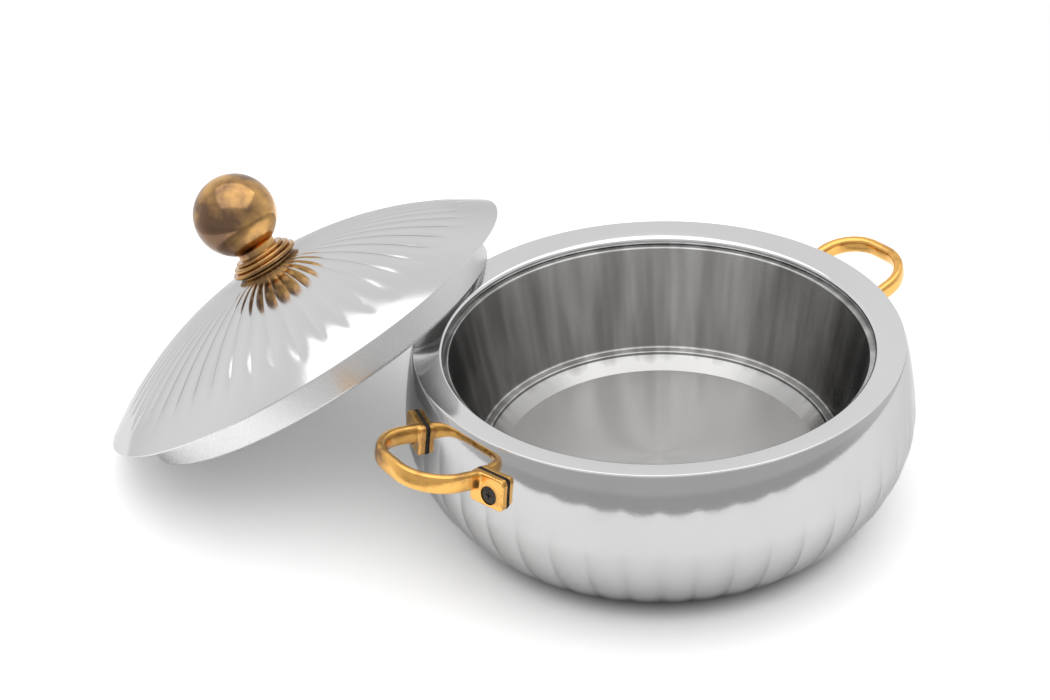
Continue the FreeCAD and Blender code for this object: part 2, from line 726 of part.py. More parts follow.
knob_collar = turned("knob_collar", [
    ("stud_hole_radius", "seat_height"),
    ("collar_foot_radius", "seat_height"),
    ("collar_foot_radius", "foot_top"),
    ("ring_one_under", "foot_top"),
    ("ring_one_flank", "ring_bevel_top"),
    ("ring_one_flank", "ring_one_top", "ring_one_edge", 1),
    ("ring_two_flank", "ring_one_top"),
    ("ring_two_flank", "ring_two_top", "ring_two_edge", 1),
    ("ring_three_flank", "ring_two_top"),
    ("ring_three_flank", "ring_three_top", "ring_three_edge", 1),
    ("neck_radius", "ring_three_top"),
    ("neck_radius", "ball_flat"),
    ("stud_hole_radius", "ball_flat"),
])
knob_ball = turned("knob_ball", [
    ("axis", "stud_top"),
    ("stud_hole_radius", "stud_top"),
    ("stud_hole_radius", "ball_flat"),
    ("neck_radius", "ball_flat"),
    ("axis", "ball_top", "ball_radius", 1),
])
knob_stud = cylinder("knob_stud", cell("stud_radius"), f"{cell('stud_top')} - {cell('stud_base')}",
                     cell("stud_base"))
washer_disc = cylinder("washer_disc", cell("knob_washer_radius"), cell("knob_washer_sheet"),
                       cell("washer_base"))
knob_washer = cut("knob_washer", washer_disc, stud_hole)
nut_blank = prism("nut_blank", cell("knob_nut_width"), cell("knob_nut_height"), cell("nut_base"))
knob_nut = cut("knob_nut", nut_blank, stud_hole)

# The lid at rest: its rim leans on the pot and its lower edge stands on the table

across = FreeCAD.Rotation(Vector(0, 0, 1), value("lean_azimuth"))
tilt = across.multiply(FreeCAD.Rotation(Vector(0, 1, 0), value("lean_angle")))
rest_spot = across.multVec(Vector(value("edge_reach"), 0, value("edge_level")))
lid_rest = FreeCAD.Placement(rest_spot, tilt)

pot_nodes = {
    "outer_shell": outer_shell,
    "rim_ring": rim_ring,
    "inner_liner": inner_liner,
    "base_plate": base_plate,
    "pot_insulation": pot_insulation,
    "handle_right": handle_right,
    "handle_left": handle_left,
    "pads_right": pads_right,
    "pads_left": pads_left,
    "screws_right": screws_right,
    "screws_left": screws_left,
    "nuts_right": nuts_right,
    "nuts_left": nuts_left,
}
lid_nodes = {
    "lid_dome": lid_dome,
    "lid_pan": lid_pan,
    "lid_insulation": lid_insulation,
    "knob_collar": knob_collar,
    "knob_ball": knob_ball,
    "knob_stud": knob_stud,
    "knob_washer": knob_washer,
    "knob_nut": knob_nut,
}
doc.recompute()


def place_lid():
    """Moves the lid's sub-parts to where the lid rests."""
    for label, item in lid_nodes.items():
        item.Label = label + "_upright"
        placed = shaped(label + "_at_rest", item.Shape.copy(), lid_rest.multiply(item.Placement))
        lid_nodes[label] = placed


place_lid()
nodes = {**pot_nodes, **lid_nodes}
doc.recompute()

for item in doc.Objects:
    assert not {"Invalid", "Error"} & set(item.State), item.Label
for label, item in nodes.items():
    shape = item.Shape
    assert not shape.isNull() and shape.isValid(), label
    item.Label = label
    shape.exportStep(f"parts/{label}.step")
    print(f"{label}: {len(shape.Solids)} solid(s), {shape.Volume / 1000:.2f} cm3")
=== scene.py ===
from math import acos, asin, cos, pi, radians, sin, sqrt, tan

import bmesh
import bpy
import numpy as np
from mathutils import Matrix, Vector


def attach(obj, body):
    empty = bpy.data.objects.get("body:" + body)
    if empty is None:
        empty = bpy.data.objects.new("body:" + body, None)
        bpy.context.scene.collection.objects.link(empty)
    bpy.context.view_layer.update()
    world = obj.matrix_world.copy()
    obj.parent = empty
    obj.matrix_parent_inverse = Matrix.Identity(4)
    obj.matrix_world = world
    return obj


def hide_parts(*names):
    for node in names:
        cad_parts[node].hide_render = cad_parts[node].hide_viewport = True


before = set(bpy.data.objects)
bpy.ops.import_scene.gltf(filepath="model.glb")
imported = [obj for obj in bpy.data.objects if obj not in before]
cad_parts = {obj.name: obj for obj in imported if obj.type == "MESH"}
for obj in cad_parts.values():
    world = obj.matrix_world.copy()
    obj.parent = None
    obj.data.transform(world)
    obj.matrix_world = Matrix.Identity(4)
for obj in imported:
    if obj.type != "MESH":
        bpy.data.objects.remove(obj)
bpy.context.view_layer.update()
print("stage: frame loaded")


# The camera stands where the photographer's did

cameraValues = {
    "place": (-0.4875, -0.6039, 0.5597),
    "heading": 56.0,       # degrees from +X
    "downward": 31.28,     # degrees below level
    "roll": -3.51,
    "lens": 61.71,         # mm, as the sensor
    "sensor": 36.0,
    "clipEnd": 50.0,
}


def turnAbout(axis, degreesTurned):
    return Matrix.Rotation(radians(degreesTurned), 4, axis)


def makeCamera(values):
    data = bpy.data.cameras.new("camera")
    data.lens = values["lens"]
    data.sensor_width = values["sensor"]
    data.clip_end = values["clipEnd"]
    camera = bpy.data.objects.new("camera", data)
    turn = turnAbout("Z", values["heading"] - 90)
    pitch = turnAbout("X", 90 - values["downward"])
    roll = turnAbout("Z", values["roll"])
    camera.matrix_world = Matrix.Translation(values["place"]) @ turn @ pitch @ roll
    scene = bpy.context.scene
    scene.collection.objects.link(camera)
    scene.camera = camera
    scene.view_settings.view_transform = "Standard"


makeCamera(cameraValues)
print("stage: camera")


# Meshes

meshValues = {"axisReach": 1e-6, "mergeWithin": 3e-6, "flatWithin": 1e-7, "sharpAngle": 32}


def smoothFaces(mesh, sharpAngle):
    mesh.polygons.foreach_set("use_smooth", [True] * len(mesh.polygons))
    mesh.set_sharp_from_angle(angle=radians(sharpAngle))


def addObject(name, mesh, sharpAngle=meshValues["sharpAngle"]):
    smoothFaces(mesh, sharpAngle)
    piece = bpy.data.objects.new(name, mesh)
    bpy.context.scene.collection.objects.link(piece)
    return piece


def meshFrom(name, points, faces):
    mesh = bpy.data.meshes.new(name)
    mesh.from_pydata([tuple(p) for p in points], [], faces)
    mesh.validate()
    mesh.update()
    return mesh


def bandFaces(rows, columns, closeRows=False):
    faces = []
    for row in range(rows if closeRows else rows - 1):
        low, high = row * columns, ((row + 1) % rows) * columns
        for column in range(columns):
            after = (column + 1) % columns
            faces.append((low + column, low + after, high + after, high + column))
    return faces


def roundCorners(outline, steps=5):
    # outline of (across, up, rounding) in order; a rounding of 0 keeps the corner
    result = []
    count = len(outline)
    for index, (across, up, rounding) in enumerate(outline):
        here = np.array((across, up))
        before = np.array(outline[index - 1][:2]) - here
        after = np.array(outline[(index + 1) % count][:2]) - here
        if rounding <= 0:
            result.append(here)
            continue
        before, after = before / np.linalg.norm(before), after / np.linalg.norm(after)
        half = acos(np.clip(before @ after, -1, 1)) / 2
        back = rounding / tan(half)
        centre = here + (before + after) / np.linalg.norm(before + after) * rounding / sin(half)
        start, end = here + before * back - centre, here + after * back - centre
        sweep = pi - 2 * half
        side = 1 if start[0] * end[1] - start[1] * end[0] > 0 else -1
        for step in range(steps + 1):
            angle = side * sweep * step / steps
            c, s = cos(angle), sin(angle)
            result.append(centre + np.array((start[0] * c - start[1] * s, start[0] * s + start[1] * c)))
    return result


def turnedRows(name, outline, columns, phase=0.0):
    # a closed outline turned about Z, one row of points for each of its corners
    points = []
    for across, up in outline:
        reach = max(across, meshValues["axisReach"])
        for column in range(columns):
            angle = 2 * pi * column / columns + radians(phase)
            points.append((reach * cos(angle), reach * sin(angle), up))
    mesh = bpy.data.meshes.new(name)
    mesh.from_pydata(points, [], bandFaces(len(outline), columns, closeRows=True))
    mesh.update()
    return mesh


def turnedMesh(name, outline, columns=256):
    return outwards(turnedRows(name, outline, columns))


def closeMesh(piece, sharpAngle):
    smoothFaces(outwards(piece.data), sharpAngle)


def outwards(mesh):
    # merges what meets, such as the points on an axis, and turns every face outwards
    work = bmesh.new()
    work.from_mesh(mesh)
    bmesh.ops.remove_doubles(work, verts=work.verts, dist=meshValues["mergeWithin"])
    bmesh.ops.dissolve_degenerate(work, edges=work.edges, dist=meshValues["flatWithin"])
    bmesh.ops.recalc_face_normals(work, faces=work.faces)
    work.to_mesh(mesh)
    work.free()
    mesh.update()
    return mesh


def finishPiece(piece, body, replaced=(), material=None):
    if replaced:
        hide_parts(*replaced)
    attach(piece, body)
    if material:
        piece.data.materials.clear()
        piece.data.materials.append(material)
    return piece


# Geometry node trees


def newTree(name, inputs):
    tree = bpy.data.node_groups.new(name, "GeometryNodeTree")
    tree.interface.new_socket("Geometry", in_out="INPUT", socket_type="NodeSocketGeometry")
    for label, kind in inputs.items():
        tree.interface.new_socket(label, in_out="INPUT", socket_type="NodeSocket" + kind)
    tree.interface.new_socket("Geometry", in_out="OUTPUT", socket_type="NodeSocketGeometry")
    return tree, tree.nodes.new("NodeGroupInput").outputs, tree.nodes.new("NodeGroupOutput").inputs


def addNode(tree, kind, inputs=None, **settings):
    node = tree.nodes.new(kind)
    for key, setting in settings.items():
        setattr(node, key, setting)
    for key, feed in (inputs or {}).items():
        if isinstance(feed, bpy.types.NodeSocket):
            tree.links.new(feed, node.inputs[key])
        else:
            node.inputs[key].default_value = feed
    return node


def calc(tree, operation, *feeds):
    node = addNode(tree, "ShaderNodeMath", dict(enumerate(feeds)), operation=operation)
    return node.outputs[0]


def rangeOf(tree, feed, low, high, newLow, newHigh, kind="LINEAR"):
    inputs = {"Value": feed, "From Min": low, "From Max": high, "To Min": newLow, "To Max": newHigh}
    return addNode(tree, "ShaderNodeMapRange", inputs, interpolation_type=kind).outputs["Result"]


def softStep(tree, feed, low, high, newLow, newHigh):
    return rangeOf(tree, feed, low, high, newLow, newHigh, "SMOOTHSTEP")


def endTree(tree, result, geometry, finish):
    real = addNode(tree, "GeometryNodeRealizeInstances", {"Geometry": geometry})
    painted = addNode(tree, "GeometryNodeSetMaterial", {"Geometry": real.outputs[0], "Material": finish})
    tree.links.new(painted.outputs[0], result["Geometry"])


def bakeMesh(piece):
    graph = bpy.context.evaluated_depsgraph_get()
    graph.update()
    mesh = bpy.data.meshes.new_from_object(piece.evaluated_get(graph), depsgraph=graph)
    piece.modifiers.clear()
    piece.data = mesh
    return mesh


def runTree(piece, tree, inputs):
    modifier = piece.modifiers.new(tree.name, "NODES")
    modifier.node_group = tree
    for item in tree.interface.items_tree:
        if item.in_out == "INPUT" and item.name in inputs:
            modifier[item.identifier] = inputs[item.name]
    return bakeMesh(piece)


def makeFluteTree():
    # shallow convex lobes between creases, round the Z axis; they fade along Z,
    # or along the radius where Over Radius is 1, and there they also narrow to the middle
    floats = ("Phase", "Depth", "Crease Power", "First", "Rise", "Last", "Fall", "Centre", "Over Radius")
    tree, given, result = newTree("flutes", {
        "Lobes": "Int", **dict.fromkeys(floats, "Float"), "Finish": "Material"})
    place = addNode(tree, "GeometryNodeInputPosition").outputs[0]
    x, y, z = addNode(tree, "ShaderNodeSeparateXYZ", {0: place}).outputs
    angle = calc(tree, "SUBTRACT", calc(tree, "ARCTAN2", y, x), given["Phase"])
    lobe = calc(tree, "FRACT", calc(tree, "DIVIDE", calc(tree, "MULTIPLY", angle, given["Lobes"]), 2 * pi))
    fromMiddle = calc(tree, "ABSOLUTE", calc(tree, "MULTIPLY_ADD", lobe, 2.0, -1.0))
    inward = calc(tree, "POWER", fromMiddle, given["Crease Power"])
    squares = calc(tree, "ADD", calc(tree, "MULTIPLY", x, x), calc(tree, "MULTIPLY", y, y))
    radius = calc(tree, "SQRT", squares)
    measure = calc(tree, "MULTIPLY_ADD", calc(tree, "SUBTRACT", radius, z), given["Over Radius"], z)
    risen = calc(tree, "ADD", given["First"], given["Rise"])
    falls = calc(tree, "SUBTRACT", given["Last"], given["Fall"])
    begins = softStep(tree, measure, given["First"], risen, 0.0, 1.0)
    ends = softStep(tree, measure, falls, given["Last"], 1.0, 0.0)
    fade = calc(tree, "MULTIPLY", begins, ends)
    skin = addNode(tree, "GeometryNodeInputNamedAttribute", {"Name": "skin"}, data_type="FLOAT").outputs[0]
    width = calc(tree, "SUBTRACT", calc(tree, "DIVIDE", measure, given["Last"]), 1.0)
    width = calc(tree, "MULTIPLY_ADD", width, given["Over Radius"], 1.0)
    deepest = calc(tree, "MULTIPLY", calc(tree, "MULTIPLY", given["Depth"], inward), width)
    depth = calc(tree, "MULTIPLY", deepest, calc(tree, "MULTIPLY", fade, skin))
    lift = calc(tree, "MULTIPLY", calc(tree, "SUBTRACT", z, given["Centre"]), given["Over Radius"])
    outward = addNode(tree, "ShaderNodeCombineXYZ", {0: x, 1: y, 2: lift}).outputs[0]
    outward = addNode(tree, "ShaderNodeVectorMath", {0: outward}, operation="NORMALIZE").outputs[0]
    move = addNode(tree, "ShaderNodeVectorMath", {0: outward}, operation="SCALE")
    tree.links.new(calc(tree, "MULTIPLY", depth, -1.0), move.inputs["Scale"])
    moved = addNode(tree, "GeometryNodeSetPosition",
                    {"Geometry": given["Geometry"], "Offset": move.outputs[0]})
    endTree(tree, result, moved.outputs[0], given["Finish"])
    return tree


strapSection = {"points": 40, "flatPower": 0.45, "crownExtra": 0.35, "heightPower": 0.8}


def makeStrapTree():
    # a section that is flat inside and crowned outside, drawn along a path
    floats = ("Half Thickness", "Half Height", "Flare", "Flare Length")
    tree, given, result = newTree("strap", {**dict.fromkeys(floats, "Float"), "Finish": "Material"})
    path = addNode(tree, "GeometryNodeMeshToCurve", {"Mesh": given["Geometry"]}).outputs[0]
    path = addNode(tree, "GeometryNodeSetCurveNormal", {"Curve": path}, mode="Z_UP").outputs[0]
    ends = addNode(tree, "GeometryNodeSplineParameter").outputs["Length"]
    whole = addNode(tree, "GeometryNodeSplineLength").outputs["Length"]
    toEnd = calc(tree, "MINIMUM", ends, calc(tree, "SUBTRACT", whole, ends))
    near = softStep(tree, toEnd, 0.0, given["Flare Length"], given["Flare"], 1.0)
    path = addNode(tree, "GeometryNodeSetCurveRadius", {"Curve": path, "Radius": near}).outputs[0]
    ring = addNode(tree, "GeometryNodeCurvePrimitiveCircle", {
        "Resolution": strapSection["points"], "Radius": 1.0}).outputs[0]
    place = addNode(tree, "GeometryNodeInputPosition").outputs[0]
    x, y, _ = addNode(tree, "ShaderNodeSeparateXYZ", {0: place}).outputs

    def squared(feed, power):
        size = calc(tree, "POWER", calc(tree, "ABSOLUTE", feed), power)
        return calc(tree, "MULTIPLY", size, calc(tree, "SIGN", feed))

    outside = calc(tree, "GREATER_THAN", x, 0.0)
    flatness = calc(tree, "MULTIPLY_ADD", outside, strapSection["crownExtra"], strapSection["flatPower"])
    across = calc(tree, "MULTIPLY", squared(x, flatness), given["Half Thickness"])
    up = calc(tree, "MULTIPLY", squared(y, strapSection["heightPower"]), given["Half Height"])
    shaped = addNode(tree, "ShaderNodeCombineXYZ", {0: across, 1: up}).outputs[0]
    ring = addNode(tree, "GeometryNodeSetPosition", {"Geometry": ring, "Position": shaped}).outputs[0]
    tube = addNode(tree, "GeometryNodeCurveToMesh",
                   {"Curve": path, "Profile Curve": ring, "Fill Caps": True})
    endTree(tree, result, tube.outputs[0], given["Finish"])
    return tree


def makeCopiesTree():
    # the same small part at each point, turned as the point says
    tree, given, result = newTree("copies", {"Part": "Object", "Finish": "Material"})
    part = addNode(tree, "GeometryNodeObjectInfo", {"Object": given["Part"]}).outputs["Geometry"]
    turn = addNode(tree, "GeometryNodeInputNamedAttribute", {"Name": "turn"}, data_type="FLOAT_VECTOR")
    turn = addNode(tree, "FunctionNodeEulerToRotation", {0: turn.outputs[0]}).outputs[0]
    copies = addNode(tree, "GeometryNodeInstanceOnPoints",
                     {"Points": given["Geometry"], "Instance": part, "Rotation": turn})
    endTree(tree, result, copies.outputs[0], given["Finish"])
    return tree


# Finishes

surfaceValues = {
    "grainRange": (0.3, 0.7), "smudgeRange": (0.4, 0.75), "grainDepth": 0.0002, "rippleDepth": 0.001,
    "streakScale": 5.0, "streakAlong": 1.5, "wallReach": 0.075, "wallFade": 1.25,
    "acrossMarks": 0.25,     # a quarter turn of the blur
}


def noiseAt(tree, place, scale, detail=4.0, roughness=0.55):
    feeds = {"Vector": place, "Scale": scale, "Detail": detail, "Roughness": roughness}
    return addNode(tree, "ShaderNodeTexNoise", feeds).outputs["Fac"]


def mixColors(tree, share, first, second):
    node = addNode(tree, "ShaderNodeMix", {"Factor": share}, data_type="RGBA")
    for socket, feed in ((node.inputs[6], first), (node.inputs[7], second)):
        if isinstance(feed, bpy.types.NodeSocket):
            tree.links.new(feed, socket)
        else:
            socket.default_value = (*feed, 1.0)
    return node.outputs[2]


def startMaterial(name):
    material = bpy.data.materials.new(name)
    material.use_nodes = True
    tree = material.node_tree
    place = addNode(tree, "ShaderNodeTexCoord").outputs["Object"]
    return material, tree, tree.nodes["Principled BSDF"], place


def streaksAt(tree, place):
    # noise that changes round the axis and hardly with height, on the wall only; as colour it paints dark
    # streaks up the liner's wall, a painted reflection of dark surroundings, and it also ripples the bump
    along, wall = surfaceValues["streakAlong"], surfaceValues["wallReach"]
    flat = addNode(tree, "ShaderNodeVectorMath", {0: place, 1: (1, 1, 0)}, operation="MULTIPLY").outputs[0]
    reach = addNode(tree, "ShaderNodeVectorMath", {0: flat}, operation="LENGTH").outputs["Value"]
    around = addNode(tree, "ShaderNodeVectorMath", {0: flat}, operation="SCALE")
    tree.links.new(calc(tree, "DIVIDE", 1.0, calc(tree, "MAXIMUM", reach, wall)), around.inputs["Scale"])
    spot = addNode(tree, "ShaderNodeVectorMath", {0: place, 1: (along,) * 3, 2: around.outputs[0]},
                   operation="MULTIPLY_ADD")
    onWall = softStep(tree, reach, wall, surfaceValues["wallFade"] * wall, 0.0, 1.0)
    return calc(tree, "MULTIPLY", noiseAt(tree, spot.outputs[0], surfaceValues["streakScale"], 2.0), onWall)


def finishSurface(tree, shader, place, values, metallic):
    # colour in soft patches, roughness and bump from a fine grain, and slow ripples
    if "turned" in values:
        # on a turned surface the colour patches follow these streaks: painted reflection, dark streaks up the
        # wall
        cloud = ripple = streaksAt(tree, place)
    else:
        cloud = noiseAt(tree, place, values["cloudScale"], 5.0)
        ripple = noiseAt(tree, place, values["rippleScale"], 1.0)
    patch = rangeOf(tree, cloud, *values["patches"], 0.0, 1.0)
    grain = noiseAt(tree, place, values["grainScale"], 3.0, 0.6)
    rough = rangeOf(tree, grain, *surfaceValues["grainRange"], *values["roughness"])
    smudge = rangeOf(tree, cloud, *surfaceValues["smudgeRange"], 0.0, values["smudge"])
    rough = calc(tree, "ADD", rough, smudge)
    bump = addNode(tree, "ShaderNodeBump", {
        "Height": grain, "Strength": values["bump"], "Distance": surfaceValues["grainDepth"]})
    wave = addNode(tree, "ShaderNodeBump", {
        "Height": ripple, "Strength": values["ripple"], "Distance": surfaceValues["rippleDepth"],
        "Normal": bump.outputs["Normal"]})
    color = mixColors(tree, patch, values["color"], values["patchColor"])
    tree.links.new(color, shader.inputs["Base Color"])
    tree.links.new(rough, shader.inputs["Roughness"])
    tree.links.new(wave.outputs["Normal"], shader.inputs["Normal"])
    shader.inputs["Metallic"].default_value = metallic
    shader.inputs["Specular Tint"].default_value = (*values.get("edgeTint", (1.0, 1.0, 1.0)), 1.0)
    if "turned" in values:
        # blurred across the lathe's marks, so reflections run up the wall and out from the centre
        shader.inputs["Anisotropic"].default_value = values["turned"]
        shader.inputs["Anisotropic Rotation"].default_value = surfaceValues["acrossMarks"]
        around = addNode(tree, "ShaderNodeTangent", direction_type="RADIAL", axis="Z")
        tree.links.new(around.outputs[0], shader.inputs["Tangent"])


def makeFinish(name, values):
    material, tree, shader, place = startMaterial(name)
    finishSurface(tree, shader, place, values, values.get("metallic", 1.0))
    return material


steel = {
    "color": (0.70, 0.70, 0.70), "patchColor": (0.66, 0.66, 0.66), "patches": (0.35, 0.7),
    "cloudScale": 22.0, "grainScale": 900.0, "roughness": (0.05, 0.08), "smudge": 0.02,
    "bump": 0.02, "rippleScale": 35.0, "ripple": 0.02, "edgeTint": (0.72, 0.72, 0.72),
}
finishes = {
    "bellySteel": {**steel, "color": (0.555, 0.555, 0.555), "patchColor": (0.525, 0.525, 0.525),
                   "roughness": (0.06, 0.10), "bump": 0.05, "ripple": 0.05},
    "rimSteel": {**steel, "color": (0.76, 0.76, 0.76), "patchColor": (0.74, 0.74, 0.74)},
    # the liner's darker patch colour, laid in streaks up the wall, is painted reflection of dark surroundings
    "linerSteel": {**steel, "color": (0.55, 0.545, 0.54), "patchColor": (0.34, 0.335, 0.33),
                   "patches": (0.38, 0.60), "roughness": (0.18, 0.21), "smudge": 0.0, "ripple": 0.5,
                   "turned": 1.0},
    "lidSteel": {**steel, "color": (0.72, 0.72, 0.725), "patchColor": (0.69, 0.69, 0.695),
                 "roughness": (0.09, 0.12), "bump": 0.08, "ripple": 0.03},
    "panSteel": {**steel, "color": (0.74, 0.74, 0.74), "patchColor": (0.70, 0.70, 0.70),
                 "roughness": (0.26, 0.30), "bump": 0.01},
    "baseSteel": {**steel, "color": (0.55, 0.55, 0.55), "roughness": (0.3, 0.4)},
    "zincSteel": {**steel, "color": (0.5, 0.5, 0.5), "roughness": (0.3, 0.4)},
    "handleBrass": {
        "color": (0.90, 0.50, 0.14), "patchColor": (0.30, 0.15, 0.07), "patches": (0.50, 0.74),
        "cloudScale": 70.0, "grainScale": 1500.0, "roughness": (0.12, 0.20), "smudge": 0.14,
        "bump": 0.10, "rippleScale": 220.0, "ripple": 0.12,
    },
    "knobBrass": {
        "color": (0.68, 0.39, 0.14), "patchColor": (0.20, 0.12, 0.075), "patches": (0.38, 0.62),
        "cloudScale": 45.0, "grainScale": 1600.0, "roughness": (0.08, 0.13), "smudge": 0.08,
        "bump": 0.08, "rippleScale": 130.0, "ripple": 0.08,
    },
    "padRubber": {
        "color": (0.012, 0.012, 0.012), "patchColor": (0.02, 0.02, 0.02), "patches": (0.35, 0.65),
        "cloudScale": 200.0, "grainScale": 2500.0, "roughness": (0.6, 0.8), "smudge": 0.1,
        "bump": 0.3, "rippleScale": 300.0, "ripple": 0.0, "metallic": 0.0,
    },
    "darkScrew": {
        "color": (0.035, 0.03, 0.028), "patchColor": (0.10, 0.085, 0.07), "patches": (0.45, 0.7),
        "cloudScale": 900.0, "grainScale": 3500.0, "roughness": (0.35, 0.55), "smudge": 0.1,
        "bump": 0.35, "rippleScale": 900.0, "ripple": 0.1, "metallic": 0.7,
    },
    "foam": {
        "color": (0.72, 0.62, 0.38), "patchColor": (0.78, 0.70, 0.48), "patches": (0.35, 0.65),
        "cloudScale": 60.0, "grainScale": 900.0, "roughness": (0.8, 0.9), "smudge": 0.1,
        "bump": 0.5, "rippleScale": 200.0, "ripple": 0.1, "metallic": 0.0,
    },
}
materials = {name: makeFinish(name, values) for name, values in finishes.items()}
fluteTree = makeFluteTree()
strapTree = makeStrapTree()
copiesTree = makeCopiesTree()
print("stage: finishes and node trees")


# Pot

potValues = {
    "bellyRadius": 0.1295, "bellyHeight": 0.0544, "bellyFullness": 1.77, "shoulderFullness": 1.4,
    "baseRadius": 0.084, "rimRadius": 0.1224, "rimHeight": 0.0948, "ringSheet": 0.0009,
    "lobes": 46, "lobePhase": 4.1, "lobeDepth": 0.0011, "creasePower": 2.4, "creaseAngle": 14,
    "lobeFirst": 0.001, "lobeRise": 0.014, "lobeLast": 0.086, "lobeFall": 0.054,
    "columnsPerLobe": 12, "rows": 130, "innerStep": 9, "wall": 0.0019, "floorHeight": 0.0022,
    "floorRound": 0.003, "seatRadius": 0.072, "wellRadius": 0.07805, "wellDepth": 0.0012,
}
rimValues = {
    "mouthRadius": 0.108, "lipRoll": 0.0023, "lipCurve": 0.00236, "lipWidth": 0.001, "sheet": 0.0009,
    "bulge": 0.0001, "hem": 0.00045, "hemReach": 0.0003, "lipSteps": 17, "bandSteps": 15,
    "hemSteps": 13, "columns": 384,
}
linerValues = {
    "top": 0.0872, "topRadius": 0.1054, "sheet": 0.0008, "flange": 0.008,
    "ledgeRadius": 0.0945, "ledgeHeight": 0.0293, "ledgeWidth": 0.005, "cove": 0.008,
    "coveStep": 8, "wallRound": 0.0016, "lipRound": 0.0011, "columns": 384,
}


def bellyPoint(share, values):
    # share 0 is the foot, 0.5 the widest level and 1 the rim
    belly, level = values["bellyRadius"], values["bellyHeight"]
    low = share < 0.5
    angle = (share if low else share - 0.5) * pi
    power = 2 / values["bellyFullness" if low else "shoulderFullness"]
    outer, upper = sin(angle) ** power, max(cos(angle), 0.0) ** power
    if low:
        return values["baseRadius"] + (belly - values["baseRadius"]) * outer, level * (1 - upper)
    top = values["rimHeight"] - values["ringSheet"]
    return values["rimRadius"] + (belly - values["rimRadius"]) * upper, level + (top - level) * outer


def bellyRadiusAt(height, values):
    low, high = 0.0, 1.0
    for _ in range(40):
        middle = (low + high) / 2
        if bellyPoint(middle, values)[1] < height:
            low = middle
        else:
            high = middle
    return bellyPoint(low, values)[0]


def flutedPiece(name, outline, values, finish, more):
    # the first rows of the outline are the skin that takes the lobes
    columns = values["lobes"] * values["columnsPerLobe"]
    mesh = turnedRows(name, outline, columns, values["lobePhase"])
    skin = np.repeat([float(row < values["rows"]) for row in range(len(outline))], columns)
    mesh.attributes.new("skin", "FLOAT", "POINT").data.foreach_set("value", np.array(skin, np.float32))
    piece = addObject(name, mesh)
    runTree(piece, fluteTree, {
        "Lobes": values["lobes"], "Phase": radians(values["lobePhase"]), "Depth": values["lobeDepth"],
        "Crease Power": values["creasePower"], "First": values["lobeFirst"], "Rise": values["lobeRise"],
        "Last": values["lobeLast"], "Fall": values["lobeFall"], "Finish": materials[finish], **more,
    })
    closeMesh(piece, values["creaseAngle"])
    return piece


def makeBelly(values):
    rows, wall, floor = values["rows"], values["wall"], values["floorHeight"]
    seat, well, depth = values["seatRadius"], values["wellRadius"], values["wellDepth"]
    outer = [bellyPoint(row / (rows - 1), values) for row in range(rows)]
    inner = [(radius - wall, height) for radius, height in outer[::-values["innerStep"]] if height > floor]
    below = [(inner[-1][0] - values["floorRound"], floor), (seat, floor), (seat, depth),
             (well, depth), (well, 0.0)]
    piece = flutedPiece("belly", outer + inner + below, values, "bellySteel", {})
    return finishPiece(piece, "pot", ["outer_shell"])


def makeRim(pot, liner, values):
    # a flat band that rises outwards from a rolled lip to a rounded hem
    roll, curve, hem = values["lipRoll"], values["lipCurve"], values["hem"]
    bottom, mouth = liner["top"], values["mouthRadius"]
    reach = asin(roll / curve)
    lip = [(mouth + curve * (1 - cos(turn)), bottom + roll + curve * sin(turn))
           for turn in np.linspace(-reach, reach, values["lipSteps"])]
    hemCentre = np.array((pot["rimRadius"] + values["hemReach"] - hem, pot["rimHeight"] - hem))
    start, end = np.array(lip[-1]), hemCentre + (0, hem)
    slope = asin((end[1] - start[1]) / np.linalg.norm(end - start))
    end = hemCentre + hem * np.array((-sin(slope), cos(slope)))
    normal = np.array((start[1] - end[1], end[0] - start[0])) / np.linalg.norm(end - start)
    band = [tuple(start + (end - start) * share + normal * values["bulge"] * sin(pi * share))
            for share in np.linspace(0, 1, values["bandSteps"])[1:]]
    fold = [tuple(hemCentre + hem * np.array((cos(turn), sin(turn))))
            for turn in np.linspace(pi / 2, -pi / 2, values["hemSteps"])[1:]]
    back = mouth + curve - sqrt(curve ** 2 - roll ** 2) + values["lipWidth"]
    under = [(back, bottom + 2 * roll - values["sheet"]), (back, bottom)]
    mesh = turnedMesh("rimBand", [*lip, *band, *fold, *under], values["columns"])
    piece = addObject("rimBand", mesh, sharpAngle=35)
    return finishPiece(piece, "pot", ["rim_ring"], materials["rimSteel"])


def makeLiner(values):
    sheet, cove, ledge = values["sheet"], values["cove"], values["ledgeHeight"]
    top, topRadius, ledgeRadius = values["top"], values["topRadius"], values["ledgeRadius"]
    ledgeInner = ledgeRadius - values["ledgeWidth"]
    floorRadius, floor = ledgeInner - cove, ledge - cove
    inside = [(0.0, floor, 0), (floorRadius, floor, 0)]
    for angle in range(values["coveStep"], 90, values["coveStep"]):
        turn = radians(angle)
        inside.append((floorRadius + cove * sin(turn), ledge - cove * cos(turn), 0))
    inside += [(ledgeInner, ledge, values["lipRound"]), (ledgeRadius, ledge, values["wallRound"]),
               (topRadius, top, values["lipRound"]), (topRadius + values["flange"], top, 0)]
    outside = [(topRadius + values["flange"], top - sheet, 0), (topRadius + sheet, top - sheet, 0),
               (ledgeRadius + sheet, ledge - sheet, 0), (ledgeInner + sheet, ledge - sheet, 0),
               (floorRadius, floor - sheet, 0), (0.0, floor - sheet, 0)]
    mesh = turnedMesh("liner", roundCorners(inside + outside, steps=6), values["columns"])
    piece = addObject("liner", mesh, sharpAngle=40)
    return finishPiece(piece, "pot", ["inner_liner"], materials["linerSteel"])


makeBelly(potValues)
makeRim(potValues, linerValues, rimValues)
makeLiner(linerValues)
print("stage: pot")


# Handles and their screws

